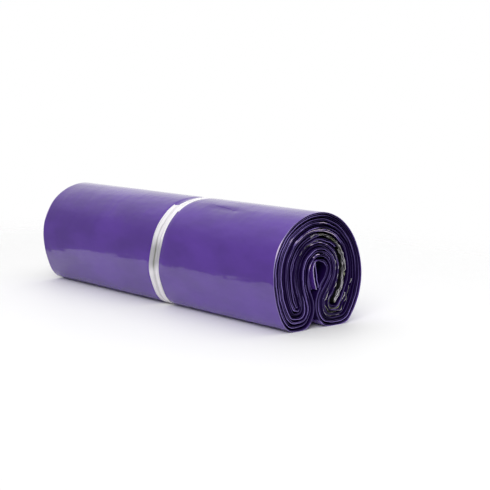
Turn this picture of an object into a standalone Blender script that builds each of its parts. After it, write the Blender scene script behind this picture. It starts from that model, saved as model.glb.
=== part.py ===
# Coil of poly mailer bags, squeezed into a horseshoe and tied with one band of clear tape.
# Metres, +Z up. The coil lies along X with its cleft down; the origin is on the floor under its middle.

import math

import bpy
from mathutils import Vector
from mathutils.geometry import convex_hull_2d

MM = 0.001

# Coil
BAG_WIDTH = 305 * MM          # a 12 inch bag, which is the coil's length
FILM_WALL = 1.3 * MM          # one wound layer of bags
TURNS = 6
ARCH_RADIUS = 25.7 * MM       # core line over the crown
ARCH_SHIFT = 0.45 * MM        # crown leans a little to the right
ARCH_HEIGHT = 40.6 * MM
LEFT_CORE_Y = -20.0 * MM
LEFT_CORE_HEIGHT = 17.6 * MM
RIGHT_CORE_Y = 16.8 * MM
RIGHT_CORE_HEIGHT = 17.3 * MM

# Air between the layers, by place
AIR_CROWN_OUT = 1.13 * MM
AIR_CROWN_IN = 1.0 * MM
AIR_LEFT_OUT = 1.25 * MM
AIR_LEFT_IN = 1.25 * MM
AIR_LEFT_LOBE = 1.3 * MM
AIR_LEFT_FOLD = 1.65 * MM
AIR_LEFT_CLEFT = 1.0 * MM
AIR_RIGHT_OUT = 0.85 * MM
AIR_RIGHT_IN = 0.95 * MM
AIR_RIGHT_LOBE = 1.6 * MM
AIR_RIGHT_FOLD = 1.5 * MM
AIR_RIGHT_CLEFT = 1.4 * MM

# Loose end of the coil, which hangs in the hollow
TAIL_SLACK = 1.2 * MM         # extra air above it at the crown
TAIL_REACH = 21 * MM          # how far it hangs below the crown
TAIL_SWING = 5 * MM           # how far it leans to the right as it hangs

# Release liners, stacked in the core gap
LINERS = 3
LINER_THICKNESS = 0.6 * MM
LINER_HEIGHT = 38 * MM        # along the turn
LINER_STEP = 16 * MM          # each one starts this much further along
LINER_START = 4 * MM          # from the right core

# Tape band
TAPE_WIDTH = 12.7 * MM
TAPE_SHIFT = 10 * MM          # from the middle of the coil
TAPE_THICKNESS = 0.3 * MM
TAPE_LAP = 14 * MM            # the closing end lies over the starting end
TAPE_START_ANGLE = math.radians(138)

# Fit
FLOOR_BEND = 1.2 * MM         # height in which a layer bends from its curve onto the flat
CLEARANCE = 0.3 * MM
CUTTER_MARGIN = 1.0 * MM

# Points along the section
LEG_STEPS = 7
CROWN_STEPS = 24
FOLD_STEPS = 16
TAIL_STEPS = 7
LINER_STEPS = 10

LINER_STACK = LINERS * LINER_THICKNESS + (LINERS - 1) * CLEARANCE
HALF_CORE = LINER_STACK / 2 + CLEARANCE
FIRST_LAYER = HALF_CORE + FILM_WALL / 2


def ease(t):
    t = min(1.0, max(0.0, t))
    return t * t * (3 - 2 * t)


def blend_along(values, t):
    # Value at t from 0 to 1 along a list of evenly spaced values
    place = min(max(t, 0.0), 1.0) * (len(values) - 1)
    index = min(int(place), len(values) - 2)
    return values[index] + (values[index + 1] - values[index]) * ease(place - index)


def bezier(start, control, end, t):
    return start * (1 - t) ** 2 + control * (2 * t * (1 - t)) + end * t ** 2


def turn_right(v):
    return Vector((v.y, -v.x))


def core_line():
    # Horseshoe that the coil is wound around, from the left core over the crown to the right core
    centre = Vector((ARCH_SHIFT, ARCH_HEIGHT))
    left_core = Vector((LEFT_CORE_Y, LEFT_CORE_HEIGHT))
    right_core = Vector((RIGHT_CORE_Y, RIGHT_CORE_HEIGHT))
    left_spring = centre - Vector((ARCH_RADIUS, 0))
    right_spring = centre + Vector((ARCH_RADIUS, 0))
    left_control = Vector((left_spring.x, (ARCH_HEIGHT + LEFT_CORE_HEIGHT) / 2))
    right_control = Vector((right_spring.x, (ARCH_HEIGHT + RIGHT_CORE_HEIGHT) / 2))
    points = [bezier(left_core, left_control, left_spring, i / LEG_STEPS) for i in range(LEG_STEPS)]
    for i in range(CROWN_STEPS + 1):
        angle = math.pi * (1 - i / CROWN_STEPS)
        points.append(centre + Vector((math.cos(angle), math.sin(angle))) * ARCH_RADIUS)
    points += [bezier(right_spring, right_control, right_core, i / LEG_STEPS)
               for i in range(1, LEG_STEPS + 1)]
    return points


def outward_normals(points):
    last = len(points) - 1
    steps = [points[min(i + 1, last)] - points[max(i - 1, 0)] for i in range(last + 1)]
    return [-turn_right(step).normalized() for step in steps]


def layer_pitch(u, airs):
    return FILM_WALL + blend_along(airs, u)


def stations():
    # One turn as (base point, direction away from the core line, pitch, which lobe it lies over), from
    # the right core: up the inner side, round the left fold, back over the outer side, round the right fold
    line = core_line()
    normals = outward_normals(line)
    last = len(line) - 1
    inner_airs = (AIR_LEFT_CLEFT, AIR_LEFT_IN, AIR_CROWN_IN, AIR_RIGHT_IN, AIR_RIGHT_CLEFT)
    outer_airs = (AIR_LEFT_LOBE, AIR_LEFT_OUT, AIR_CROWN_OUT, AIR_RIGHT_OUT, AIR_RIGHT_LOBE)
    left_airs = (AIR_LEFT_CLEFT, AIR_LEFT_FOLD, AIR_LEFT_LOBE)
    right_airs = (AIR_RIGHT_LOBE, AIR_RIGHT_FOLD, AIR_RIGHT_CLEFT)

    def lobe(i):
        return "left" if i < last / 2 else "right"

    def side(indices, sign, airs):
        return [(line[i], normals[i] * sign, layer_pitch(i / last, airs), lobe(i)) for i in indices]

    def fold(i, first, airs):
        start = math.atan2(first.y, first.x)
        turned = []
        for k in range(1, FOLD_STEPS):
            angle = start - math.pi * k / FOLD_STEPS
            away = Vector((math.cos(angle), math.sin(angle)))
            turned.append((line[i], away, layer_pitch(k / FOLD_STEPS, airs), lobe(i)))
        return turned

    inner = side(range(last, -1, -1), -1, inner_airs)
    left = fold(0, -normals[0], left_airs)
    outer = side(range(last + 1), 1, outer_airs)
    right = fold(last, normals[last], right_airs)
    return inner, left, outer, right


def floor_under(turn, fold_place, core_height, fold_air):
    # Height of the middle of a layer where it lies flat over the floor, the last turn's at half a wall
    reach = FIRST_LAYER + (turn + fold_place) * (FILM_WALL + fold_air)
    last_reach = FIRST_LAYER + (TURNS - 1 + fold_place) * (FILM_WALL + fold_air)
    return core_height - (core_height - FILM_WALL / 2) * reach / last_reach


def rest_on(height, floor):
    rise = height - floor
    if abs(rise) >= FLOOR_BEND:
        return max(height, floor)
    return floor + (rise + FLOOR_BEND) ** 2 / (4 * FLOOR_BEND)


def coil_path():
    # Middle of the film from the core out to the loose end, and the last turn's outer skin
    inner, left, outer, right = stations()
    loop = inner + left + outer + right
    count = len(loop)
    lobes = {"left": ((len(inner) + len(left) / 2) / count, LEFT_CORE_HEIGHT, AIR_LEFT_FOLD),
             "right": ((count - len(right) / 2) / count, RIGHT_CORE_HEIGHT, AIR_RIGHT_FOLD)}
    to_crown = len(inner) // 2
    path = []
    skin = []
    for step in range(TURNS * count + to_crown + 1):
        base, direction, pitch, lobe = loop[step % count]
        turn = step // count
        reach = FIRST_LAYER + step / count * pitch
        if turn == TURNS:
            reach += TAIL_SLACK * ease(step % count / to_crown)
        point = base + direction * reach
        point.y = rest_on(point.y, floor_under(min(turn, TURNS - 1), *lobes[lobe]))
        path.append(point)
        if turn == TURNS - 1:
            face = point + direction * FILM_WALL / 2
            skin.append(Vector((face.x, max(0, face.y))))
    return path + hanging_tail(path), skin


def hanging_tail(path):
    start = path[-1]
    along = (path[-1] - path[-2]).normalized() * TAIL_REACH / 3
    end = start + Vector((-TAIL_SWING / 2, -TAIL_REACH))
    above_end = end + Vector((-TAIL_SWING, TAIL_REACH / 2))
    points = []
    for i in range(1, TAIL_STEPS + 1):
        t = i / TAIL_STEPS
        points.append(start * (1 - t) ** 3 + (start + along) * (3 * t * (1 - t) ** 2)
                      + above_end * (3 * t * t * (1 - t)) + end * t ** 3)
    return points


def walk(points, distance):
    # Index, with its fraction, of the place that far along a line of points
    for i in range(len(points) - 1):
        length = (points[i + 1] - points[i]).length
        if distance <= length:
            return i + distance / length
        distance -= length
    return float(len(points) - 1)


def between(values, place):
    index = min(int(place), len(values) - 2)
    return values[index] + (values[index + 1] - values[index]) * (place - index)


def liner_path(index):
    # A strip along the core line from the right core, stacked on the first layer of the inner side
    line = core_line()[::-1]
    normals = outward_normals(core_line())[::-1]
    inner, left, outer, right = stations()
    count = len(inner) + len(left) + len(outer) + len(right)
    film_faces = [HALF_CORE + i / count * station[2] for i, station in enumerate(inner)]
    stacked = CLEARANCE + LINER_THICKNESS / 2 + index * (LINER_THICKNESS + CLEARANCE)
    start = LINER_START + index * LINER_STEP
    points = []
    for i in range(LINER_STEPS + 1):
        place = walk(line, start + LINER_HEIGHT * i / LINER_STEPS)
        from_core = between(film_faces, place) - stacked
        points.append(between(line, place) - between(normals, place) * from_core)
    return points


def tape_path(skin):
    # Tight loop around the skin, and the same loop run on past its start, over its own first stretch
    hull = [skin[i] for i in convex_hull_2d(skin)]
    hull.sort(key=lambda p: (TAPE_START_ANGLE - math.atan2(p.y - ARCH_HEIGHT, p.x)) % math.tau)
    lift = TAPE_THICKNESS + CLEARANCE
    raised = [point - turn_right(hull[(i + 1) % len(hull)] - hull[i - 1]).normalized() * lift
              for i, point in enumerate(hull)]
    lap_end = walk(hull, TAPE_LAP)
    lap = raised[:int(lap_end) + 1] + [between(raised, lap_end)]
    return hull, hull + lap


def new_material(name, colour, roughness):
    material = bpy.data.materials.new(name)
    material.use_nodes = True
    shader = material.node_tree.nodes["Principled BSDF"]
    shader.inputs["Base Color"].default_value = (*colour, 1)
    shader.inputs["Metallic"].default_value = 0
    shader.inputs["Roughness"].default_value = roughness
    material.diffuse_color = (*colour, 1)
    return material


def ribbon(name, points, width, middle, collection, cyclic=False):
    # Open sheet along X from a line in the YZ plane, as a mesh that takes modifiers
    curve = bpy.data.curves.new(name + "_line", "CURVE")
    curve.dimensions = "2D"
    curve.fill_mode = "NONE"
    curve.extrude = width / 2
    spline = curve.splines.new("POLY")
    spline.points.add(len(points) - 1)
    for target, point in zip(spline.points, points):
        target.co = (point.x, point.y, 0, 1)
    spline.use_cyclic_u = cyclic
    guide = bpy.data.objects.new(name + "_line", curve)
    guide.rotation_euler = (math.pi / 2, 0, math.pi / 2)
    guide.location.x = middle
    collection.objects.link(guide)
    bpy.context.view_layer.update()
    mesh = bpy.data.meshes.new_from_object(guide.evaluated_get(bpy.context.evaluated_depsgraph_get()))
    sheet = bpy.data.objects.new(name, mesh)
    sheet.matrix_world = guide.matrix_world
    collection.objects.link(sheet)
    bpy.data.objects.remove(guide)
    return sheet


def thicken(sheet, thickness, offset):
    modifier = sheet.modifiers.new("Thickness", "SOLIDIFY")
    modifier.thickness = thickness
    modifier.offset = offset
    modifier.use_even_offset = True


def finish(sheet, material):
    sheet.data.materials.append(material)
    sheet.data.shade_smooth()
    sheet.data.set_sharp_from_angle(angle=math.radians(30))


def make_bag_roll(path, hull, parts, cutters):
    roll = ribbon("bag_roll", path, BAG_WIDTH, 0, parts)
    thicken(roll, FILM_WALL, 0)
    # Seat that the tight tape presses into the outer skin
    seat_depth = TAPE_THICKNESS + CLEARANCE
    cut_thickness = seat_depth + CUTTER_MARGIN
    seat_width = TAPE_WIDTH + 2 * CLEARANCE
    cutter = ribbon("tape_seat_cutter", hull, seat_width, TAPE_SHIFT, cutters, cyclic=True)
    thicken(cutter, cut_thickness, 1 - 2 * seat_depth / cut_thickness)
    cutter.hide_render = True
    cutter.display_type = "WIRE"
    seat = roll.modifiers.new("TapeSeat", "BOOLEAN")
    seat.operation = "DIFFERENCE"
    seat.solver = "EXACT"
    seat.object = cutter
    finish(roll, new_material("purple_film", (0.108, 0.058, 0.296), 0.22))


def make_tape_band(lapped, parts):
    tape = ribbon("tape_band", lapped, TAPE_WIDTH, TAPE_SHIFT, parts)
    thicken(tape, TAPE_THICKNESS, -1)
    finish(tape, new_material("clear_tape", (0.58, 0.56, 0.60), 0.3))


def make_release_liners(parts):
    material = new_material("liner_film", (0.36, 0.37, 0.34), 0.45)
    for index in range(LINERS):
        liner = ribbon(f"release_liner_{index + 1}", liner_path(index), BAG_WIDTH, 0, parts)
        thicken(liner, LINER_THICKNESS, 0)
        finish(liner, material)


def new_collection(name):
    collection = bpy.data.collections.new(name)
    bpy.context.scene.collection.children.link(collection)
    return collection


def main():
    for old in list(bpy.data.objects):
        bpy.data.objects.remove(old)
    parts = new_collection("poly_mailer_roll")
    cutters = new_collection("cutters")
    path, skin = coil_path()
    hull, lapped = tape_path(skin)
    make_bag_roll(path, hull, parts, cutters)
    make_tape_band(lapped, parts)
    make_release_liners(parts)


main()
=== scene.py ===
import math
import bpy
import bmesh
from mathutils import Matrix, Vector, noise
from mathutils.geometry import convex_hull_2d


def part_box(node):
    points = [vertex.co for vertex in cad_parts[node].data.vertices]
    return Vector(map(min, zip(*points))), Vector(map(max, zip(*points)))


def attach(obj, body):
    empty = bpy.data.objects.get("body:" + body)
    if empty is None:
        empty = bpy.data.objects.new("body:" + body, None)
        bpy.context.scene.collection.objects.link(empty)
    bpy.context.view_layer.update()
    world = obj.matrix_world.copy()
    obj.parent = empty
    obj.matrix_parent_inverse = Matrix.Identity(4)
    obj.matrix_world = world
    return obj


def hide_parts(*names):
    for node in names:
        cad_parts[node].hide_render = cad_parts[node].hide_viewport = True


# Dresses the solids of a rolled pack of mailer bags with thin films, clear tape and crumpled liners.
# The pack lies along X. Its sections are drawn in the YZ plane, so a flat point's x is Y and its y is Z.

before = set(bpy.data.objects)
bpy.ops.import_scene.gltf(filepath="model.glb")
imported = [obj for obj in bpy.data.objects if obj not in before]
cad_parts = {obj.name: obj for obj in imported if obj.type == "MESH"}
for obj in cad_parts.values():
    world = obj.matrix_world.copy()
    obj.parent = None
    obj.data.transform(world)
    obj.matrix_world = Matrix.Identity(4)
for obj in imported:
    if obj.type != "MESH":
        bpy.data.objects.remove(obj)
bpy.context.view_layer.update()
mm = 0.001
coilLow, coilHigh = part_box("bag_roll")
tapeLow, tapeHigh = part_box("tape_band")


class Wire:
    # A node's output socket that Python operators can be used on
    def __init__(self, net, socket):
        self.net = net
        self.socket = socket

    def math(self, operation, *others):
        return self.net.add("ShaderNodeMath", {"operation": operation}, [self, *others])

    def __add__(self, other):
        return self.math("ADD", other)

    def __sub__(self, other):
        return self.math("SUBTRACT", other)

    def __rsub__(self, other):
        return self.net.add("ShaderNodeMath", {"operation": "SUBTRACT"}, [other, self])

    def __mul__(self, other):
        return self.math("MULTIPLY", other)

    def __truediv__(self, other):
        return self.math("DIVIDE", other)

    def __neg__(self):
        return self.math("MULTIPLY", -1)

    __radd__ = __add__
    __rmul__ = __mul__

    def over(self, low, high):  # 0 below low, 1 above high, smooth between
        settings = {"interpolation_type": "SMOOTHSTEP"}
        return self.net.add("ShaderNodeMapRange", settings, [self, low, high, 0, 1])


class Net:
    # A shader or geometry node tree that is written as expressions
    def __init__(self, tree):
        self.tree = tree

    def add(self, nodeType, settings=None, inputs=None, output=0):
        node = self.tree.nodes.new(nodeType)
        for name, value in (settings or {}).items():
            setattr(node, name, value)
        pairs = inputs.items() if isinstance(inputs, dict) else enumerate(inputs or [])
        for key, value in pairs:
            self.feed(node.inputs[key], value)
        return Wire(self, node.outputs[output])

    def feed(self, socket, value):
        if isinstance(value, Wire):
            self.tree.links.new(value.socket, socket)
        elif value is not None:
            socket.default_value = value

    def vector(self, operation, *values, output=0):
        return self.add("ShaderNodeVectorMath", {"operation": operation}, list(values), output)

    def combine(self, x, y, z):
        return self.add("ShaderNodeCombineXYZ", None, [x, y, z])

    def part(self, wire, axis):  # axis 0, 1 or 2 of a vector
        return self.add("ShaderNodeSeparateXYZ", None, [wire], axis)


# Sizes of the tape band, which also presses a seat into the film, and of the coil's section


tape = {
    "width": tapeHigh.x - tapeLow.x,
    "middle": (tapeHigh.x + tapeLow.x) / 2,
    "thickness": 0.1 * mm,
    "depth": 0.34 * mm,         # its inner face under the coil's skin
    "lap": 9 * mm,
    "lapLift": 0.22 * mm,
    "lapRows": 5,               # rows over which it climbs onto its own start
    "startAngle": math.radians(131),
    "step": 1.0 * mm,           # between rows along the band
    "rows": 44,                 # across the band
    "toothPitch": 6.4 * mm,
    "toothDepth": 2.4 * mm,
    "toothRoot": 3 * mm,        # how far behind the cut the teeth still pull
    "ridge": 0.42 * mm,
    "startWidth": 0.62,         # share of its width where it is bunched most, at its starting end
    "startShift": 3.2 * mm,     # how far that end lies to one side
    # lean towards the near end in mm, by degrees around the pack: 0 is its back, 90 its top, 180 its front
    "leanStops": [(-30, 0), (50, 8), (85, 9), (120, 5.5), (165, 5), (203, 0)],
}

coil = {
    "length": coilHigh.x - coilLow.x,
    "wall": 1.3 * mm,
    "turns": 6,
    "archRadius": 25.7 * mm,
    "arch": Vector((0.45, 40.6)) * mm,
    "leftCore": Vector((-20.0, 17.6)) * mm,
    "rightCore": Vector((16.8, 17.3)) * mm,
    "halfCore": 1.5 * mm,
    "innerAirs": (1.0, 1.25, 1.0, 0.95, 1.4),   # cleft, left leg, crown, right leg, cleft
    "outerAirs": (1.3, 1.25, 1.13, 0.85, 1.6),  # lobe, left leg, crown, right leg, lobe
    "leftAirs": (1.0, 1.65, 1.3),
    "rightAirs": (1.6, 1.5, 1.4),
    "tailSlack": 1.2 * mm,
    "tailReach": 21 * mm,
    "tailSwing": 5 * mm,
    "floorBend": 2.4 * mm,
    "legSteps": 14,
    "crownSteps": 56,
    "foldSteps": 26,
    "tailSteps": 22,
}


# Lines of the section, the same as those of the solid


def ease(t):
    t = min(1.0, max(0.0, t))
    return t * t * (3 - 2 * t)


def blendAlong(values, t):
    place = min(max(t, 0.0), 1.0) * (len(values) - 1)
    index = min(int(place), len(values) - 2)
    return values[index] + (values[index + 1] - values[index]) * ease(place - index)


def bezier(start, control, end, t):
    return start * (1 - t) ** 2 + control * (2 * t * (1 - t)) + end * t ** 2


def leftOf(v):
    return Vector((-v.y, v.x))


def coreLine():
    legs, crown = coil["legSteps"], coil["crownSteps"]
    arch, radius = coil["arch"], coil["archRadius"]
    points = []
    springs = [arch - Vector((radius, 0)), arch + Vector((radius, 0))]
    controls = [Vector((spring.x, (arch.y + core.y) / 2))
                for spring, core in zip(springs, (coil["leftCore"], coil["rightCore"]))]
    points += [bezier(coil["leftCore"], controls[0], springs[0], i / legs) for i in range(legs)]
    for i in range(crown + 1):
        angle = math.pi * (1 - i / crown)
        points.append(arch + Vector((math.cos(angle), math.sin(angle))) * radius)
    points += [bezier(springs[1], controls[1], coil["rightCore"], i / legs) for i in range(1, legs + 1)]
    return points


def lineNormals(points):
    last = len(points) - 1
    steps = [points[min(i + 1, last)] - points[max(i - 1, 0)] for i in range(last + 1)]
    return [leftOf(step).normalized() for step in steps]


def stations():
    # One turn from the right core: inner side, left fold, outer side, right fold
    line = coreLine()
    normals = lineNormals(line)
    last = len(line) - 1

    def pitch(t, airs):
        return coil["wall"] + blendAlong(airs, t) * mm

    def side(indices, sign, airs):
        return [(line[i], normals[i] * sign, pitch(i / last, airs), i < last / 2) for i in indices]

    def fold(i, first, airs):
        start = math.atan2(first.y, first.x)
        turns = [math.pi * k / coil["foldSteps"] for k in range(1, coil["foldSteps"])]
        return [(line[i], Vector((math.cos(start - a), math.sin(start - a))), pitch(a / math.pi, airs),
                 i < last / 2) for a in turns]

    return (side(range(last, -1, -1), -1, coil["innerAirs"]), fold(0, -normals[0], coil["leftAirs"]),
            side(range(last + 1), 1, coil["outerAirs"]), fold(last, normals[last], coil["rightAirs"]))


def restOn(height, floor):
    # Height kept above the floor, with a rounded bend where it meets it
    rise, bend = height - floor, coil["floorBend"]
    return max(height, floor) if abs(rise) >= bend else floor + (rise + bend) ** 2 / (4 * bend)


def coilMiddle():
    # Middle line of the wound layer, from the core out to the loose end, with the turn at each point
    inner, left, outer, right = stations()
    loop = inner + left + outer + right
    count = len(loop)
    folds = {True: ((len(inner) + len(left) / 2) / count, coil["leftCore"].y, coil["leftAirs"][1]),
             False: ((count - len(right) / 2) / count, coil["rightCore"].y, coil["rightAirs"][1])}
    firstLayer = coil["halfCore"] + coil["wall"] / 2
    toCrown = len(inner) // 2
    points, turns = [], []
    for step in range(coil["turns"] * count + toCrown + 1):
        base, direction, pitch, overLeft = loop[step % count]
        turn = step // count
        reach = firstLayer + step / count * pitch
        if turn == coil["turns"]:
            reach += coil["tailSlack"] * ease(step % count / toCrown)
        place, coreHeight, air = folds[overLeft]
        foldPitch = coil["wall"] + air * mm
        foldReach = firstLayer + (min(turn, coil["turns"] - 1) + place) * foldPitch
        lastReach = firstLayer + (coil["turns"] - 1 + place) * foldPitch
        floor = coreHeight - (coreHeight - coil["wall"] / 2) * foldReach / lastReach
        point = base + direction * reach
        point.y = restOn(point.y, floor)
        points.append(point)
        turns.append(step / count)
    start = points[-1]
    reach, swing = coil["tailReach"], coil["tailSwing"]
    lead = start + (points[-1] - points[-2]).normalized() * reach / 3
    end = start + Vector((-swing / 2, -reach))
    hang = end + Vector((-swing, reach / 2))
    for i in range(1, coil["tailSteps"] + 1):
        t = i / coil["tailSteps"]
        points.append(start * (1 - t) ** 3 + lead * 3 * t * (1 - t) ** 2
                      + hang * 3 * t * t * (1 - t) + end * t ** 3)
        turns.append(turns[-1] + 1 / count)
    return points, turns, count


def tapeLoop():
    # Tight loop around the skin of the last turn, clockwise from the start of the tape
    lastTurn = range((coil["turns"] - 1) * turnCount, coil["turns"] * turnCount)
    skin = [middle[i] + middleNormals[i] * (coil["wall"] / 2) for i in lastTurn]
    hull = [skin[i] for i in convex_hull_2d(skin)]
    hull.sort(key=lambda p: (tape["startAngle"] - math.atan2(p.y - coil["arch"].y, p.x)) % math.tau)
    return hull


def leanAt(point):
    # How far the tape leans along X at this place of the section
    facing = (math.degrees(math.atan2(point.y - coil["arch"].y, point.x)) + 90) % 360 - 90
    for (start, low), (end, high) in zip(tape["leanStops"], tape["leanStops"][1:]):
        if start <= facing < end:
            return (low + (high - low) * ease((facing - start) / (end - start))) * mm
    return 0.0


def distanceTo(loop, point):
    nearest = 1.0
    for a, b in zip(loop, loop[1:] + loop[:1]):
        along = b - a
        share = min(1.0, max(0.0, (point - a).dot(along) / max(along.length_squared, 1e-12)))
        nearest = min(nearest, (point - a - along * share).length)
    return nearest


middle, turnAt, turnCount = coilMiddle()
middleNormals = lineNormals(middle)
print("coil line", len(middle), "points")


# Film, wound as thin sheets along the coil line


def lineMesh(name, lines, fields):
    # Guide lines in the YZ plane, with their point fields, for a geometry node tree to sweep
    coords, edges = [], []
    for line in lines:
        first = len(coords)
        coords += [(0, p.x, p.y) for p in line["points"]]
        edges += [(first + i, first + i + 1) for i in range(len(line["points"]) - 1)]
    mesh = bpy.data.meshes.new(name)
    mesh.from_pydata(coords, edges, [])
    outward = mesh.attributes.new("outward", "FLOAT_VECTOR", "POINT")
    normals = [n for line in lines for n in line["outward"]]
    outward.data.foreach_set("vector", [c for n in normals for c in (0, n.x, n.y)])
    for label in fields:
        attribute = mesh.attributes.new(label, "FLOAT", "POINT")
        values = [v for line in lines for v in line.get(label, [0.0] * len(line["points"]))]
        attribute.data.foreach_set("value", values)
    guide = bpy.data.objects.new(name, mesh)
    bpy.context.scene.collection.objects.link(guide)
    return guide


def newTree(name, sizes):
    # Tree with a guide, the named sizes and a material as its inputs
    tree = bpy.data.node_groups.new(name, "GeometryNodeTree")
    tree.interface.new_socket("Guide", in_out="INPUT", socket_type="NodeSocketGeometry")
    kinds = {float: "NodeSocketFloat", int: "NodeSocketInt"}
    for label, value in sizes.items():
        socket = tree.interface.new_socket(label, in_out="INPUT", socket_type=kinds[type(value)])
        socket.default_value = value
    tree.interface.new_socket("Material", in_out="INPUT", socket_type="NodeSocketMaterial")
    tree.interface.new_socket("Result", in_out="OUTPUT", socket_type="NodeSocketGeometry")
    net = Net(tree)
    entry = tree.nodes.new("NodeGroupInput")
    return net, {socket.name: Wire(net, socket) for socket in entry.outputs if socket.name}


def noiseField(net, where, scale, seed, detail=1.0):
    # Noise centred on 0
    sample = net.add("ShaderNodeTexNoise", {"noise_dimensions": "4D"},
                     {"Vector": where, "W": seed, "Scale": scale, "Detail": detail})
    return sample - 0.5


def named(net, name, kind="FLOAT"):
    return net.add("GeometryNodeInputNamedAttribute", {"data_type": kind}, [name])


def store(net, geometry, name, value):
    return net.add("GeometryNodeStoreNamedAttribute", {"data_type": "FLOAT", "domain": "POINT"},
                   {"Geometry": geometry, "Name": name, "Value": value})


def sweepAlongX(net, size):
    # Ribbon along X from guide lines, with its rows crowded towards the ends and the middle as asked
    span = net.add("GeometryNodeCurvePrimitiveLine", None, {"Start": (-0.5, 0, 0), "End": (0.5, 0, 0)})
    span = net.add("GeometryNodeResampleCurve", None, {"Curve": span, "Count": size["Rows"] + 1})
    t = net.part(net.add("GeometryNodeInputPosition"), 0)
    crowded = t + size["End Crowding"] * (t * math.tau).math("SINE") / math.tau
    crowded = crowded + size["Middle Crowding"] * (t * (2 * math.tau)).math("SINE") / (2 * math.tau)
    x = size["Start"] + (crowded + 0.5) * size["Length"]
    span = net.add("GeometryNodeSetPosition", None, {"Geometry": span, "Position": net.combine(x, 0, 0)})
    lines = net.add("GeometryNodeMeshToCurve", None, {"Mesh": size["Guide"]})
    lines = net.add("GeometryNodeSetCurveNormal", {"mode": "FREE"}, {"Curve": lines, "Normal": (1, 0, 0)})
    return net.add("GeometryNodeCurveToMesh", None, {"Curve": lines, "Profile Curve": span})


mergeReach = 0.002 * mm  # the two faces of a film are joined where their points coincide


def closeTree(net, sheet, size):
    # Gives the ribbon its thickness, keeps it off the floor and closes the tree
    push = net.vector("SCALE", named(net, "outward", "FLOAT_VECTOR"), None, None, size["Thickness"])
    lifted = net.add("GeometryNodeExtrudeMesh", {"mode": "FACES"},
                     {"Mesh": sheet, "Offset": push, "Offset Scale": 1, "Individual": False})
    under = net.add("GeometryNodeFlipFaces", None, [sheet])
    both = net.tree.nodes.new("GeometryNodeJoinGeometry")
    for part in (lifted, under):
        net.tree.links.new(part.socket, both.inputs[0])
    joined = Wire(net, both.outputs[0])
    closed = net.add("GeometryNodeMergeByDistance", None, {"Geometry": joined, "Distance": mergeReach})
    place = net.add("GeometryNodeInputPosition")
    above = net.combine(net.part(place, 0), net.part(place, 1), net.part(place, 2).math("MAXIMUM", 0.0))
    closed = net.add("GeometryNodeSetPosition", None, {"Geometry": closed, "Position": above})
    closed = net.add("GeometryNodeRealizeInstances", None, [closed])
    closed = net.add("GeometryNodeSetMaterial", None, {"Geometry": closed, "Material": size["Material"]})
    result = net.tree.nodes.new("NodeGroupOutput")
    net.tree.links.new(closed.socket, result.inputs[0])
    return net.tree


def bake(name, guide, tree, values, sharpAngle):
    # Runs the tree on its guide once and keeps the plain mesh
    modifier = guide.modifiers.new("Build", "NODES")
    modifier.node_group = tree
    for socket in tree.interface.items_tree:
        if socket.in_out == "INPUT" and socket.name in values:
            modifier[socket.identifier] = values[socket.name]
    guide.update_tag()
    bpy.context.view_layer.update()
    mesh = bpy.data.meshes.new_from_object(guide.evaluated_get(bpy.context.evaluated_depsgraph_get()))
    guide.modifiers.remove(modifier)
    bpy.data.objects.remove(guide)
    shape = bmesh.new()
    shape.from_mesh(mesh)
    bmesh.ops.recalc_face_normals(shape, faces=shape.faces)
    shape.to_mesh(mesh)
    shape.free()
    mesh.name = name
    mesh.shade_smooth()
    mesh.set_sharp_from_angle(angle=math.radians(sharpAngle))
    piece = bpy.data.objects.new(name, mesh)
    bpy.context.scene.collection.objects.link(piece)
    print(name, len(mesh.polygons) * 2, "triangles")
    return piece


film = {
    "sheet": 0.34 * mm,        # one film seen at the end face
    "spread": 0.46 * mm,       # middle of a sheet from the middle of its layer
    "wander": 0.2 * mm,        # how unevenly the sheets lie
    "crinkle": 0.3 * mm,       # short waves in the inner sheets
    "endDrift": 2.6 * mm,      # how far sheet ends sit back from the coil's end
    "ripple": 0.2 * mm,        # slow waves of the outer skin
    "endWave": 0.8 * mm,       # loose waves near the ends
    "waist": 0.5 * mm,         # depth of the seat that the tape presses in
    "pucker": 0.16 * mm,       # wrinkles running out from the tape
    "crease": 0.6 * mm,        # pressed line in the skin beside the tape
    "creasePlace": -16.4 * mm,
    "creaseBelow": 12 * mm,    # it slopes gently below its line and steeply above it
    "creaseAbove": 3.2 * mm,
    "creaseStart": (0.045, 0.056),     # where it fades in and out along X
    "creaseEnd": (0.074, 0.095),
    "foldStart": (0.045, 0.062),       # and the sharp fold in it
    "foldEnd": (0.07, 0.088),
    "foldMiddle": 0.068,
    "foldSlant": 0.12,
    "upperSide": (0.06, 0.07),         # both only lie above this height
    "seatHalf": tape["width"] / 2,
    "seatMiddle": tape["middle"],
    "seatReach": 0.3 * mm,     # the skin counts as under the tape from this close, and fades out of it
    "seatFade": 1.2 * mm,
    "fullTurns": 5,            # turns under the outer wrap
    # past these the skin in the cleft takes the film painted darker, as painted shade
    "wrapFrom": 5.43,          # the outer wrap runs from lobe to lobe
    "wrapTo": 5.95,
    "coreStart": 0.13,         # where the innermost film starts, in turns
    "tailFrom": 6.2,           # where the loose end leaves the crown of the hollow
    "tailTo": 8,               # past its end
    "tailDrift": 4.5 * mm,     # how far its left film sits back
    "tailDriftRight": 0.3 * mm,
    "leaf": (2.7, -18.0),      # foot of the second loose end from its top, in mm
    "leafTop": (-2.2, -2.0),   # its top from the middle of the crown
    "leafBow": (-0.9, 0.5),
    "leafSteps": 24,
    "coreFolds": ((0.5, 0.5), (1.2, 2.1)),   # offset in mm and seed of the folded films in the left lobe
}

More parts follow.
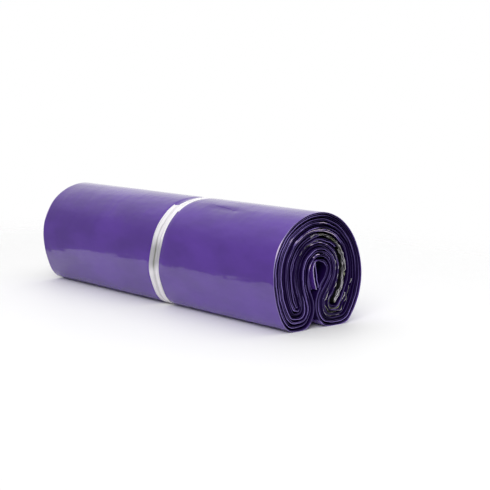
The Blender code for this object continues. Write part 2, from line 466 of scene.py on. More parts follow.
# How much the edges of the films catch the light, from 0 to 1
glints = {
    "usual": 0.2,
    "swing": 0.9,
    "outerSide": 1.3,          # factors for the two films of a layer
    "innerSide": 0.4,
    "most": 0.7,
    "least": 0.03,
    "dimOnTop": 0.5,           # the outer turns are dimmer on top, and all are on the right
    "dimOnRight": 0.45,
    "bright": 0.8,
    "brightSwing": 0.8,
    "brightEdges": {1: [(2.61, 2.73), (0.62, 0.72), (1.15, 1.22)],   # in turns, for each film
                    -1: [(1.62, 1.65), (1.66, 1.69), (0.68, 0.76), (5.19, 5.23)]},
    "skin": 0.22,
    "rim": 0.72,
    "rimAngle": math.radians(153),   # where the near rim catches the light
    "rimSpread": math.radians(36),
}
wrapFields = ("drift", "waist", "glint", "loose", "lean", "skin")


def chance(*place):
    # Smooth noise around 0, the same on every run
    return noise.noise(Vector(place))


def nearTape(turn, point, normal, loop):
    # 1 where the skin lies under the tape, 0 where it lies clear of it
    if turn < film["fullTurns"]:
        return 0.0
    skin = point + normal * (coil["wall"] / 2)
    return 1 - ease((distanceTo(loop, skin) - film["seatReach"]) / film["seatFade"])


def endDrift(side, turn, seed, isSkin):
    # How far the ends of a film sit back from the coil's ends, less near the skin
    slide = chance(turn * 1.9, seed * 3.1, 8.5) + 0.35
    underSkin = film["fullTurns"] + 1 - turn
    inside = 1 if underSkin < 0 else min(1.0, 0.12 + underSkin * 0.3)
    drift = 0.0 if isSkin else max(0.0, slide) * film["endDrift"] * inside
    tailDrift = film["tailDrift"] if side < 0 else film["tailDriftRight"]
    return drift + (tailDrift - drift) * ease((turn - film["tailFrom"]) / 0.03)


def edgeGlint(side, turn, seed, facing):
    # How much the edge of a wound film catches the light at one place
    if side > 0 and turn > film["tailFrom"]:
        return glints["bright"]
    if any(start < turn < end for start, end in glints["brightEdges"][side]):
        shine = glints["bright"] + glints["brightSwing"] * chance(turn * 60, seed, 2.5)
        return min(1.0, max(glints["least"], shine))
    sparkle = max(0.0, chance(turn * 21, seed * 4.7, 1.5)) ** 1.5 * 1.4
    shine = glints["usual"] + glints["swing"] * chance(turn * 5.7, seed * 5.9, 4.5) + sparkle
    shine = shine * (glints["outerSide"] if side > 0 else glints["innerSide"])
    onTop = 1 - ease(abs(facing - math.pi / 2) / math.radians(60))
    onRight = 1 - ease(abs((facing + math.radians(190)) % math.tau - math.pi) / math.radians(80))
    shine = shine * (1 - glints["dimOnTop"] * onTop * ease((turn - 2.9) / 0.6))
    shine = shine * (1 - glints["dimOnRight"] * onRight)
    return max(glints["least"], min(glints["most"], shine))


def sheetLine(side, firstTurn, lastTurn, seed):
    # One sheet of the wound layer, on its outer (side 1) or inner (side -1) face
    line = {key: [] for key in ("points", "outward", *wrapFields)}
    loop = tapeLoop()
    start, stop = int(firstTurn * turnCount), min(len(middle) - 1, int(lastTurn * turnCount))
    for i in range(start, stop + 1):
        turn, point, normal = turnAt[i], middle[i], middleNormals[i]
        isSkin = side > 0 and film["fullTurns"] <= turn < film["fullTurns"] + 1
        wander = chance(turn * 4.1, seed * 7.3, 0.5) * film["wander"]
        wander += chance(turn * 34, seed * 2.9, 3.5) * film["crinkle"]
        rise = side * film["spread"] - film["sheet"] / 2 + (0 if isSkin else wander)
        facing = math.atan2(point.y - coil["arch"].y, point.x - coil["arch"].x) % math.tau
        rimLight = 1 - ease(abs(facing - glints["rimAngle"]) / glints["rimSpread"])
        rimGlint = glints["skin"] + rimLight * glints["rim"]
        line["points"].append(point + normal * rise)
        line["outward"].append(normal)
        line["drift"].append(endDrift(side, turn, seed, isSkin))
        line["waist"].append(nearTape(turn, point, normal, loop) * (1 if side > 0 else 0.55))
        line["glint"].append(rimGlint if isSkin else edgeGlint(side, turn, seed, facing))
        line["loose"].append(0.3 if isSkin else 1.0)
        line["lean"].append(leanAt(point))
        line["skin"].append(1.0 if isSkin else 0.0)
    return line


def hairpin(line, reach, offset):
    # Down a line from its point number reach, round its foot and up its other side
    normals = lineNormals(line)
    start = math.atan2(-normals[0].y, -normals[0].x)
    down = [line[i] - normals[i] * offset for i in range(reach, -1, -1)]
    turned = [start - math.pi * k / 10 for k in range(1, 10)]
    foot = [line[0] + Vector((math.cos(a), math.sin(a))) * offset for a in turned]
    return down + foot + [line[i] + normals[i] * offset for i in range(reach + 1)]


def coreFoldLine(offset, seed):
    # A folded film deep in the left lobe
    points = hairpin(coreLine(), int(len(coreLine()) * 0.5), offset)
    count = len(points)
    points = [point + normal * chance(i * 0.35, seed, 2) * film["crinkle"] * 0.7
              for i, (point, normal) in enumerate(zip(points, lineNormals(points)))]
    glint = [0.25 + 0.3 * chance(i * 0.1, seed, 0) for i in range(count)]
    return {"points": points, "outward": lineNormals(points), "drift": [1.2 * mm * seed] * count,
            "glint": glint, "loose": [1.0] * count}


def looseLeafLine():
    # A second loose end, which leans in the hollow beside the first
    crown = int((film["fullTurns"] + 1) * turnCount + len(stations()[0]) * 0.5)
    top = middle[crown] + Vector(film["leafTop"]) * mm
    foot = top + Vector(film["leaf"]) * mm
    bow = (top + foot) / 2 + Vector(film["leafBow"]) * mm
    points = [bezier(top, bow, foot, i / film["leafSteps"]) for i in range(film["leafSteps"] + 1)]
    count = len(points)
    return {"points": points, "outward": lineNormals(points), "drift": [1.6 * mm] * count,
            "glint": [0.7] * count, "loose": [1.2] * count}


def slowAlongX(net, place, share):
    # A place for noise that changes less along X than across it
    return net.vector("MULTIPLY", place, (share, 1, 1))


noiseGain = 2.4  # brings noise up to about -1 to 1


def filmTree(name):
    # Winds the films: slow ripples, loose ends, the seat under the tape and the pressed line beside it
    net, size = newTree(name, {
        "Length": 0.305, "Start": -0.15, "Rows": 100, "End Crowding": 0.0, "Middle Crowding": 0.0,
        "Thickness": 0.0004, "Ripple": 0.0, "End Wave": 0.0, "Waist": 0.0, "Pucker": 0.0, "Crease": 0.0,
        "Crease Place": 0.0, "Seat Middle": 0.0, "Seat Half": 0.006})
    sheet = sweepAlongX(net, size)
    position = net.add("GeometryNodeInputPosition")
    x = net.part(position, 0)
    fromEnd = size["Length"] / 2 - x.math("ABSOLUTE")
    sheet = store(net, sheet, "fromEnd", fromEnd)
    nearEnd = 1 - (fromEnd / size["Length"]).over(0, 0.08)
    fromSeat = (x - size["Seat Middle"] - named(net, "lean")).math("ABSOLUTE") - size["Seat Half"]
    outsideSeat = fromSeat.over(0.0002, 0.0022)
    nearSeat = 1 - fromSeat.over(-0.002, 0.03)
    waist, loose = named(net, "waist"), named(net, "loose")
    slow = noiseField(net, slowAlongX(net, position, 0.4), 30, 3.7, 1.5) * size["Ripple"] * noiseGain
    ends = noiseField(net, slowAlongX(net, position, 0.3), 105, 9.1) * size["End Wave"] * nearEnd
    ends = ends * noiseGain
    creased = noiseField(net, slowAlongX(net, position, 0.2), 250, 5.5) * size["End Wave"] * 0.55
    ends = ends + creased * nearEnd * (1 - named(net, "skin"))
    pinch = noiseField(net, slowAlongX(net, position, 0.1), 200, 1.3) * size["Pucker"] * nearSeat
    pinch = pinch * noiseGain
    fromLine = net.part(position, 1) - size["Crease Place"]
    pressed = fromLine.over(-film["creaseBelow"], 0) * (1 - fromLine.over(0, film["creaseAbove"]))
    pressed = pressed * net.part(position, 2).over(*film["upperSide"])
    pressed = pressed * x.over(*film["creaseStart"]) * (1 - x.over(*film["creaseEnd"]))
    pressed = pressed * size["Crease"] * named(net, "skin")
    lift = slow * waist + ends * loose + pinch * outsideSeat * waist
    lift = lift - pressed - (1 - outsideSeat) * waist * size["Waist"]
    settle = named(net, "drift") * nearEnd * x.math("SIGN")
    shift = net.vector("SCALE", named(net, "outward", "FLOAT_VECTOR"), None, None, lift)
    moved = net.vector("ADD", net.vector("ADD", position, shift), net.combine(-settle, 0, 0))
    sheet = net.add("GeometryNodeSetPosition", None, {"Geometry": sheet, "Position": moved})
    return closeTree(net, sheet, size)


def filmValues(material, **changes):
    values = {"Length": coil["length"], "Start": coilLow.x, "Rows": 120, "End Crowding": 0.0,
              "Middle Crowding": -0.7, "Thickness": film["sheet"], "Ripple": film["ripple"],
              "End Wave": film["endWave"], "Waist": film["waist"], "Pucker": film["pucker"],
              "Crease": film["crease"], "Crease Place": film["creasePlace"],
              "Seat Middle": film["seatMiddle"], "Seat Half": film["seatHalf"],
              "Material": material}
    values.update({key.replace("_", " "): value for key, value in changes.items()})
    return values


# Materials


def newMaterial(name):
    material = bpy.data.materials.new(name)
    material.use_nodes = True
    return material, Net(material.node_tree), material.node_tree.nodes["Principled BSDF"]


def mixColour(net, factor, a, b):
    sides = [side if isinstance(side, Wire) else (*side, 1) for side in (a, b)]
    inputs = {"Factor": factor, "A": sides[0], "B": sides[1]}
    return net.add("ShaderNodeMix", {"data_type": "RGBA"}, inputs, "Result")


def attribute(net, name):
    return net.add("ShaderNodeAttribute", {"attribute_name": name}, None, "Fac")


def spots(net, where, scale, detail=2.0):
    return net.add("ShaderNodeTexNoise", None, {"Vector": where, "Scale": scale, "Detail": detail})


def shaded(colour, factor):
    return tuple(part * factor for part in colour)


def filmMaterial(name, look):
    # Glossy polyethylene: a deep even colour, slow draw waves, fine handling marks and painted highlights
    # on the cut edges
    material, net, shader = newMaterial(name)
    place = net.add("ShaderNodeTexCoord", None, None, "Object")
    mottled = spots(net, slowAlongX(net, place, 0.5), 45, 3)
    drawn = spots(net, slowAlongX(net, place, 0.25), 60)
    dimpled = spots(net, net.vector("MULTIPLY", place, (1, 0.5, 0.5)), 95, 1)
    wrinkled = spots(net, place, 170, 1)
    scuffed = spots(net, place, 900, 3)
    # a sharp fold in the pressed line beside the tape
    x = net.part(place, 0)
    fold = net.part(place, 1) - film["creasePlace"] + (x - film["foldMiddle"]) * film["foldSlant"]
    fold = fold + (wrinkled - 0.5) * 0.003
    folded = fold.over(0.0002, 0.0018) * (1 - fold.over(0.0018, 0.012))
    folded = folded * net.part(place, 2).over(*film["upperSide"])
    folded = folded * x.over(*film["foldStart"]) * (1 - x.over(*film["foldEnd"]))
    glint = attribute(net, "glint")
    catching = glint.over(0.7, 1)  # edges that catch the light look wider and whiter
    # painted highlight along the cut ends of the films, strongest where the glint is high
    paintedEdgeLight = (1 - (attribute(net, "fromEnd") - catching * 0.0007).over(0.0001, look["edgeReach"])) * glint
    dark, pale = [shaded(look["colour"], factor) for factor in look["mottling"]]
    tone = mixColour(net, mottled.over(0.3, 0.7), dark, pale)
    tone = mixColour(net, paintedEdgeLight, tone, mixColour(net, catching, look["edgeHighlight"], look["glintHighlight"]))
    waves = drawn * 0.6 + dimpled * 0.16 + wrinkled * 0.15 + scuffed * 0.012 + folded * 0.4
    bump = net.add("ShaderNodeBump", None, {"Strength": 1.0, "Distance": look["bump"], "Height": waves})
    net.feed(shader.inputs["Base Color"], tone)
    sheen = look["roughness"] + (scuffed - 0.5) * 0.08 + (mottled - 0.5) * 0.05
    net.feed(shader.inputs["Roughness"], sheen)
    net.feed(shader.inputs["Normal"], bump)
    shader.inputs["IOR"].default_value = look["index"]
    return material


purpleFilm = filmMaterial("purple_film", {
    "colour": (0.107, 0.0385, 0.337),
    # colours of the painted highlights on the films' cut edges
    "edgeHighlight": (0.6, 0.52, 0.86),
    "glintHighlight": (0.88, 0.72, 1.0),
    "mottling": (0.8, 1.03),
    "edgeReach": 0.5 * mm,
    "roughness": 0.1,
    "bump": 1.1 * mm,
    "index": 1.6,
})
# The same film painted nearly black, as painted shade for the turns deep in the coil and in the cleft
shadedInnerFilm = filmMaterial("purple_film_inner_shaded", {
    "colour": (0.012, 0.003, 0.05),
    # colours of the painted highlights on the films' cut edges
    "edgeHighlight": (0.45, 0.33, 0.9),
    "glintHighlight": (0.88, 0.72, 1.0),
    "mottling": (0.8, 1.03),
    "edgeReach": 0.6 * mm,
    "roughness": 0.32,
    "bump": 0.3 * mm,
    "index": 1.2,
})


# Outer wrap and inner turns


windFilm = filmTree("windFilm")
outerLines = [sheetLine(1, film["wrapFrom"], film["wrapTo"], 1)]
outerLines += [sheetLine(side, film["tailFrom"], film["tailTo"], seed) for side, seed in ((1, 4), (-1, 2))]
wrapGuide = lineMesh("wrapGuide", outerLines, wrapFields)
outerWrap = bake("outer_wrap", wrapGuide, windFilm, filmValues(purpleFilm), 50)
innerLines = [sheetLine(1, film["coreStart"], film["wrapFrom"], 1)]
innerLines += [sheetLine(-1, film["coreStart"], film["tailFrom"], 2)]
innerLines += [sheetLine(1, film["wrapTo"], film["tailFrom"], 4), looseLeafLine()]
innerLines += [coreFoldLine(offset * mm, seed) for offset, seed in film["coreFolds"]]
innerGuide = lineMesh("innerGuide", innerLines, wrapFields)
# the inner turns get the darker film, which is painted shade
innerTurns = bake("inner_turns", innerGuide, windFilm, filmValues(
    shadedInnerFilm, Rows=14, End_Crowding=0.85, Middle_Crowding=0.0), 50)


# Clear tape


def resample(points, step):
    # Points a fixed step apart along a line
    out, left = [points[0].copy()], step
    for a, b in zip(points, points[1:]):
        length = (b - a).length
        travelled = 0.0
        while length - travelled >= left:
            travelled += left
            out.append(a.lerp(b, travelled / length))
            left = step
        left -= length - travelled
    return out


def tapeLine():
    # The band's inner face, once around the skin and up over its own start
    hull = tapeLoop()
    around = resample(hull + [hull[0]], tape["step"])
    lapped = around + around[1:int(tape["lap"] / tape["step"])]
    normals = lineNormals(lapped)
    line = {"points": [], "outward": normals, "along": [], "lean": [leanAt(point) for point in lapped]}
    for i, (point, normal) in enumerate(zip(lapped, normals)):
        raised = ease((i - len(around) + tape["lapRows"]) / tape["lapRows"])
        line["points"].append(point + normal * (raised * tape["lapLift"] - tape["depth"]))
        line["along"].append(i * tape["step"])
    return line, len(lapped) * tape["step"]


def tapeTree(name):
    # Bunches the band into ridges, narrows and shifts its start, and cuts teeth into both ends
    net, size = newTree(name, {
        "Length": 0.0127, "Start": 0.0, "Rows": 40, "End Crowding": 0.0, "Middle Crowding": 0.0,
        "Thickness": 0.0001, "Ridge": 0.0003, "Run": 0.3, "Start Width": 0.6, "Start Shift": 0.001,
        "Tooth Pitch": 0.006, "Tooth Depth": 0.002, "Tooth Root": 0.003})
    band = sweepAlongX(net, size)
    position = net.add("GeometryNodeInputPosition")
    centre = size["Start"] + size["Length"] / 2
    across = (net.part(position, 0) - centre) / size["Length"] * 2
    along = named(net, "along")
    band = store(net, band, "across", across)
    band = store(net, band, "fromClosing", size["Run"] - along)
    spread = across.math("ABSOLUTE")
    # two bunched lanes with a valley between them, and long wrinkles that follow the band
    lanes = ((spread - 0.05) * (math.pi / 0.95)).math("SINE").math("MAXIMUM", 0.0)
    wrinkles = noiseField(net, net.combine(across * 2.6, along * 9, 0), 1, 0.4)
    fine = noiseField(net, net.combine(across * 8, along * 14, 4), 1, 2.1)
    lift = (lanes * 0.75 + wrinkles * 0.6 + fine * 0.3).math("MAXIMUM", 0.0) * size["Ridge"]
    lift = lift * (1 - spread.over(0.9, 1.0))
    loosened = along.over(0.035, 0.15)
    wavering = noiseField(net, net.combine(along * 24, 0, 7), 1, 5.2) * 0.12
    bunched = 1 - size["Start Width"]
    narrow = bunched - bunched * loosened + wavering * (0.35 + 0.65 * (1 - loosened))
    side = (1 - loosened) * size["Start Shift"] - across * size["Length"] / 2 * narrow.math("MAXIMUM", 0.0)
    side = side + named(net, "lean")
    shift = net.vector("SCALE", named(net, "outward", "FLOAT_VECTOR"), None, None, lift)
    saw = 1 - ((net.part(position, 0) - centre) / size["Tooth Pitch"] + 0.5).math("PINGPONG", 0.5) * 2
    first = 1 - along.over(0, size["Tooth Root"])
    last = (along - (size["Run"] - size["Tooth Root"])).over(0, size["Tooth Root"])
    tangent = net.vector("CROSS_PRODUCT", named(net, "outward", "FLOAT_VECTOR"), (1, 0, 0))
    bite = net.vector("SCALE", tangent, None, None, (first - last) * saw * size["Tooth Depth"])
    slid = net.vector("ADD", net.combine(side, 0, 0), bite)
    moved = net.vector("ADD", net.vector("ADD", position, shift), slid)
    band = net.add("GeometryNodeSetPosition", None, {"Geometry": band, "Position": moved})
    return closeTree(net, band, size)


# Tape colours: the wrinkled near-white is partly a painted highlight; the grey stretch and the valley
# colour are painted shade
tapeLook = {
    "white": ((0.72, 0.68, 0.76), (0.98, 0.96, 0.99)),   # smooth and wrinkled
    "cream": ((0.64, 0.61, 0.63), (0.9, 0.87, 0.9)),
    "paintedShade": (0.36, 0.35, 0.38),
    "valleyShade": (0.2, 0.21, 0.17),
    "paintedShadeFrom": (0.03, 0.042),      # distances from the closing end over which a stretch fades in and out
    "paintedShadeTo": (0.052, 0.062),
    "creamFrom": (0.05, 0.065),
    "creamTo": (0.13, 0.16),
    "roughness": 0.22,
    "alpha": 0.86,
}


def tapeMaterial():
    # Clear tape, whitish where it is bunched and partly a painted highlight there, with painted shade in
    # its valley and along a grey stretch, and see-through where it lies flat
    material, net, shader = newMaterial("clear_tape")
    along, across = attribute(net, "along"), attribute(net, "across")
    waver = spots(net, net.combine(across * 0.8, along * 70, 6), 1, 2) - 0.5
    streaks = spots(net, net.combine((across + waver * 0.7) * 5, along * 22, 0), 1, 2)
    fine = spots(net, net.combine((across + waver * 0.5) * 20, along * 90, 3), 1, 2)
    patches = spots(net, net.combine(across * 0.4, along * 34, 9), 1, 1)
    # near-white, partly a painted highlight, for the first stretch below the closing end, then a grey
    # stretch of painted shade, then cream
    down = attribute(net, "fromClosing") + (patches - 0.5) * 0.01
    paintedShade = down.over(*tapeLook["paintedShadeFrom"]) * (1 - down.over(*tapeLook["paintedShadeTo"]))
    cream = down.over(*tapeLook["creamFrom"]) * (1 - down.over(*tapeLook["creamTo"]))
    # painted shade in the valley between the bunched lanes
    valleyShade = 1 - (across + waver * 0.5 + (streaks - 0.5) * 0.4).math("ABSOLUTE").over(0.03, 0.3)
    white = (streaks * 0.7 + fine * 0.3).over(0.3, 0.52)
    tone = mixColour(net, white, *tapeLook["white"])
    tone = mixColour(net, cream, tone, mixColour(net, white, *tapeLook["cream"]))
    tone = mixColour(net, paintedShade * (0.3 + fine * 0.9), tone, tapeLook["paintedShade"])
    tone = mixColour(net, valleyShade * (0.25 + paintedShade * 0.7 + cream * 0.15), tone, tapeLook["valleyShade"])
    relief = streaks + fine * 0.4
    bump = net.add("ShaderNodeBump", None, {"Strength": 0.5, "Distance": 0.5 * mm, "Height": relief})
    net.feed(shader.inputs["Base Color"], tone)
    net.feed(shader.inputs["Roughness"], tapeLook["roughness"] + white * 0.12)
    net.feed(shader.inputs["Alpha"], tapeLook["alpha"] + white * 0.12)
    net.feed(shader.inputs["Normal"], bump)
    return material


tapeGuideLine, tapeRun = tapeLine()
tapeGuide = lineMesh("tapeGuide", [tapeGuideLine], ("along", "lean"))
tapeBand = bake("tape_film", tapeGuide, tapeTree("bunchTape"), {
    "Length": tape["width"], "Start": tape["middle"] - tape["width"] / 2, "Rows": tape["rows"],
    "Thickness": tape["thickness"], "Ridge": tape["ridge"], "Run": tapeRun,
    "Start Width": tape["startWidth"], "Start Shift": tape["startShift"], "Tooth Pitch": tape["toothPitch"],
    "Tooth Depth": tape["toothDepth"], "Tooth Root": tape["toothRoot"], "Material": tapeMaterial()}, 60)


# Release liners


liner = {
    "count": 3,
    "thickness": 0.1 * mm,
    "apart": 0.5 * mm,          # three films for each strip of the solid, this far from each other
    "solid": 0.6 * mm,
    "gap": 0.3 * mm,
    "start": 4 * mm,
    "stepAlong": 16 * mm,
    "height": 38 * mm,
    "spacing": 0.6 * mm,
    "crumple": 0.26 * mm,
    # strength of the painted highlights on the edges of each strip's three films
    "bright": [(0.5, 1.0, 0.3), (0.2, 0.5, 1.0), (1.0, 0.6, 0.9)],   # edges of each strip's three films
    "rows": 40,
    # loose strips between the wound layers: liner, first and last turn, seed and offset in mm
    "strips": [(0, 0.86, 1.1, 11.0, 0.28), (0, 0.89, 1.14, 12.0, -0.28), (0, 1.84, 2.12, 13.0, 0),
               (0, 2.9, 3.06, 14.0, 0), (2, 0.19, 0.28, 17.0, 0), (2, 0.61, 0.72, 18.0, 0)],
    # and strips folded in the right lobe: liner, offset in mm, reach in points and seed
    "loops": [(0, 0.4, 12, 15.0), (0, 0.9, 9, 16.0)],
    "looseBright": 0.9,
    # the film's grey, painted nearly black as painted shade, and the painted highlight colour of its edges
    "smokeAndShade": ((0.008, 0.008, 0.008), (0.045, 0.045, 0.045)),
    "milkyHighlight": (0.9, 0.86, 0.94),
    "green": (0.5, 0.53, 0.34),
    "roughness": 0.3,
}


def walkLine(points, distance):
    # Place on the line, in points, this far along it
    for i in range(len(points) - 1):
        length = (points[i + 1] - points[i]).length
        if distance <= length:
            return i + distance / length
        distance -= length
    return float(len(points) - 1)


def between(values, place):
    index = min(int(place), len(values) - 2)
    return values[index] + (values[index + 1] - values[index]) * (place - index)


def linerLine(index, side):
    # One of the three films of a strip, which lie in the gap of the core from the right lobe up
    line = coreLine()[::-1]
    normals = lineNormals(coreLine())[::-1]
    inner = stations()[0]
    faces = [coil["halfCore"] + i / turnCount * station[2] for i, station in enumerate(inner)]
    stacked = liner["gap"] + liner["solid"] / 2 + index * (liner["solid"] + liner["gap"])
    result = {"points": [], "outward": [], "seed": [], "bright": []}
    for i in range(int(liner["height"] / liner["spacing"]) + 1):
        place = walkLine(line, liner["start"] + index * liner["stepAlong"] + i * liner["spacing"])
        normal = between(normals, place).normalized()
        crumple = liner["crumple"] * (1 + 0.4 * index)
        kink = chance(i * 0.22, index * 5.0, side * 2.0) * crumple + side * liner["apart"]
        result["points"].append(between(line, place) - normal * (between(faces, place) - stacked - kink))
        result["outward"].append(normal)
        result["seed"].append(index + side * 0.37)
        result["bright"].append(liner["bright"][index][side + 1])
    return result


def layerStrip(firstTurn, lastTurn, seed, aside):
    # A strip caught in the air between two wound layers
    result = {"points": [], "outward": [], "seed": [], "bright": []}
    for i in range(int(firstTurn * turnCount), int(lastTurn * turnCount) + 1):
        point = (middle[i] + middle[i + turnCount]) / 2
        kink = chance(i * 0.31, seed, 6.0) * liner["crumple"]
        result["points"].append(point + middleNormals[i] * (kink + aside))
        result["outward"].append(middleNormals[i])
        result["seed"].append(seed)
        result["bright"].append(liner["looseBright"])
    return result


def linerLoop(offset, reach, seed):
    # A strip folded round the core of the right lobe
    points = hairpin(coreLine()[::-1], reach, offset)
    points = [point + normal * chance(i * 0.4, seed, 5) * liner["crumple"]
              for i, (point, normal) in enumerate(zip(points, lineNormals(points)))]
    count = len(points)
    return {"points": points, "outward": lineNormals(points), "seed": [seed] * count,
            "bright": [liner["looseBright"]] * count}


def linerTree(name):
    # Crumples the liner films and makes their ends ragged
    net, size = newTree(name, {
        "Length": 0.305, "Start": -0.15, "Rows": 60, "End Crowding": 0.0, "Middle Crowding": 0.0,
        "Thickness": 0.00015, "Crumple": 0.0003})
    sheet = sweepAlongX(net, size)
    position = net.add("GeometryNodeInputPosition")
    x = net.part(position, 0)
    fromEnd = size["Length"] / 2 - x.math("ABSOLUTE")
    sheet = store(net, sheet, "fromEnd", fromEnd)
    nearEnd = 1 - (fromEnd / size["Length"]).over(0, 0.06)
    seed = named(net, "seed")
    folds = noiseField(net, slowAlongX(net, position, 0.5), 300, seed * 3.3)
    lift = folds * size["Crumple"] * 2 * (0.3 + nearEnd)
    ragged = noiseField(net, slowAlongX(net, position, 0), 160, seed * 9.7) + 0.5
    settle = ragged.over(0.3, 0.75) * nearEnd * x.math("SIGN") * 0.003
    shift = net.vector("SCALE", named(net, "outward", "FLOAT_VECTOR"), None, None, lift)
    moved = net.vector("ADD", net.vector("ADD", position, shift), net.combine(-settle, 0, 0))
    sheet = net.add("GeometryNodeSetPosition", None, {"Geometry": sheet, "Position": moved})
    return closeTree(net, sheet, size)


def linerMaterial():
    # Thin release film, its grey painted nearly black with the shade of the gaps seen through it, with
    # painted milky highlights at its edges and a little green in its folds
    material, net, shader = newMaterial("liner_film")
    place = net.add("ShaderNodeTexCoord", None, None, "Object")
    cloud = spots(net, place, 380, 3)
    hue = spots(net, place, 90, 1)
    own = net.combine(net.part(place, 1) * 170, net.part(place, 2) * 170, attribute(net, "seed") * 7)
    patches = 0.35 + spots(net, own, 1, 2).over(0.36, 0.5) * 0.65
    # painted highlights along the films' cut edges, in patches
    edgeHighlight = (1 - attribute(net, "fromEnd").over(0.0001, 0.0008)) * attribute(net, "bright") * patches
    milkyHighlight = mixColour(net, hue.over(0.52, 0.62), liner["milkyHighlight"], liner["green"])
    # nearly black body: painted shade of the gaps seen through the film
    tone = mixColour(net, cloud.over(0.55, 0.8), *liner["smokeAndShade"])
    tone = mixColour(net, edgeHighlight, tone, milkyHighlight)
    bump = net.add("ShaderNodeBump", None, {"Strength": 0.5, "Distance": 0.0003, "Height": cloud})
    net.feed(shader.inputs["Base Color"], tone)
    net.feed(shader.inputs["Roughness"], liner["roughness"] + cloud * 0.2)
    net.feed(shader.inputs["Normal"], bump)
    return material


milky = linerMaterial()
crumpleLiner = linerTree("crumpleLiner")
linerLines = [[linerLine(number, side) for side in (-1, 0, 1)] for number in range(liner["count"])]
for number, firstTurn, lastTurn, seed, aside in liner["strips"]:
    linerLines[number].append(layerStrip(firstTurn, lastTurn, seed, aside * mm))
for number, offset, reach, seed in liner["loops"]:
    linerLines[number].append(linerLoop(offset * mm, reach, seed))
liners = []
for number, lines in enumerate(linerLines):
    guide = lineMesh(f"linerGuide{number + 1}", lines, ("seed", "bright"))
    liners.append(bake(f"liner_strip_{number + 1}", guide, crumpleLiner, {
        "Length": coil["length"], "Start": coilLow.x, "Rows": liner["rows"], "End Crowding": 0.8,
        "Thickness": liner["thickness"], "Crumple": liner["crumple"], "Material": milky}, 60))


# What stands for what


for piece, node, slot in [(outerWrap, "bag_roll", "purple_film"), (innerTurns, "bag_roll", "purple_film"),
                          (tapeBand, "tape_band", "clear_tape")]:
    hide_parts(node)
    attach(piece, "root")
for number, piece in enumerate(liners):
    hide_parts(f"release_liner_{number + 1}")
    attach(piece, "root")
print("pieces ride")


# Stage, lights and camera


view = {
    "azimuth": math.radians(50.13),
    "elevation": math.radians(8.0),
    "target": Vector((0.0248, 0.039, 0.0424)),
    "distance": 0.984,
    "lens": 89.8,
    "sensor": 36,
    "clip": 0.02,
}
ahead = Vector((-math.sin(view["azimuth"]), math.cos(view["azimuth"]), 0))  # level, away from the camera
stage = {
    "floorSize": 4.0,
    "floorColour": (0.94, 0.94, 0.94),
    "floorRoughness": 0.6,
    "floorSeen": (0.08, 0.45),         # this far off the pack the floor fades into the white ground
    "floorMirrored": (0.071, 0.079),   # and this far off for the film, which mirrors it
    "frontRoom": 0.29,                 # how bright the studio is on the near side, behind and above
    "backRoom": 1.0,
    "ceiling": 0.66,
    "farFrom": (0.3, 0.93),            # where these blend, as cosines with the view or the height
    "highFrom": (0.3, 0.85),
    "behindFrom": (0.8, 0.95),
}
lamps = {
    "Overhead": {"at": (0.05, 0.15, 1.5), "target": (0.05, 0.1, 0), "size": (1.9, 2.2), "power": 10.5},
    "Front": {"at": (1.2, -1.3, 1.1), "target": (0, 0, 0.04), "size": (1.1, 1.1), "power": 19.5},
}


def makeCamera():
    data = bpy.data.cameras.new("Camera")
    data.lens = view["lens"]
    data.sensor_width = view["sensor"]
    data.clip_start = view["clip"]
    camera = bpy.data.objects.new("Camera", data)
    level = math.cos(view["elevation"])
    towards = Vector((ahead.x * level, ahead.y * level, -math.sin(view["elevation"])))
    camera.location = view["target"] - towards * view["distance"]
    camera.rotation_euler = (math.pi / 2 - view["elevation"], 0, view["azimuth"])
    bpy.context.scene.collection.objects.link(camera)
    bpy.context.scene.camera = camera


def areaLight(name, lamp):
    data = bpy.data.lights.new(name, "AREA")
    data.shape = "RECTANGLE"
    data.size, data.size_y = lamp["size"]
    data.energy = lamp["power"]
    light = bpy.data.objects.new(name, data)
    light.location = lamp["at"]
    light.rotation_euler = (Vector(lamp["target"]) - light.location).to_track_quat("-Z", "Y").to_euler()
    bpy.context.scene.collection.objects.link(light)


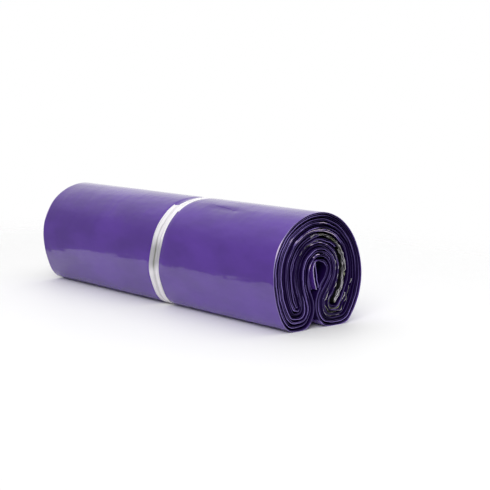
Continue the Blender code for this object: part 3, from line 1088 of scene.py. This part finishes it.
def makeFloor():
    # Pale floor that thins out into the white ground; the film mirrors only the part close to the pack
    bpy.ops.mesh.primitive_plane_add(size=stage["floorSize"])
    floor = bpy.context.object
    floor.name = "floor"
    material, net, shader = newMaterial("floor_pale")
    place = net.add("ShaderNodeTexCoord", None, None, "Object")
    halfSize = (coilHigh.x, (coilHigh.y - coilLow.y) / 2, 1)
    beyond = net.vector("SUBTRACT", net.vector("ABSOLUTE", place), halfSize)
    fromPack = net.vector("LENGTH", net.vector("MAXIMUM", beyond, (0, 0, 0)), output="Value")
    shader.inputs["Base Color"].default_value = (*stage["floorColour"], 1)
    shader.inputs["Roughness"].default_value = stage["floorRoughness"]
    seen = net.add("ShaderNodeLightPath", None, None, "Is Camera Ray")
    mirrored = 1 - fromPack.over(*stage["floorMirrored"])
    lying = 1 - fromPack.over(*stage["floorSeen"])
    net.feed(shader.inputs["Alpha"], mirrored + seen * (lying - mirrored))
    floor.data.materials.append(material)


def makeWorld():
    # White ground for the camera; for the film, a bright far side and ceiling and a dimmer near side
    world = bpy.data.worlds.new("Studio")
    world.use_nodes = True
    bpy.context.scene.world = world
    net = Net(world.node_tree)
    background = world.node_tree.nodes["Background"]
    seen = net.add("ShaderNodeLightPath", None, None, "Is Camera Ray")
    through = net.add("ShaderNodeLightPath", None, None, "Is Transmission Ray")
    mirrored = net.add("ShaderNodeLightPath", None, None, "Is Glossy Ray")
    direction = net.add("ShaderNodeTexCoord", None, None, "Generated")
    facing = net.vector("DOT_PRODUCT", direction, tuple(ahead), output="Value")
    far = facing.over(*stage["farFrom"])
    high = net.part(direction, 2).over(*stage["highFrom"])
    behind = facing.over(*stage["behindFrom"]) * (1 - high)  # the film mirrors the white ground there too
    room = stage["frontRoom"] + far * (stage["backRoom"] - stage["frontRoom"])
    room = room + high * (stage["ceiling"] - room)
    white = (seen + through + mirrored * behind).math("MINIMUM", 1.0)
    net.feed(background.inputs["Strength"], white + (1 - white) * room)
    background.inputs["Color"].default_value = (1, 1, 1, 1)


makeCamera()
makeFloor()
makeWorld()
for name, lamp in lamps.items():
    areaLight(name, lamp)
bpy.context.scene.view_settings.view_transform = "Standard"

print("stage set")
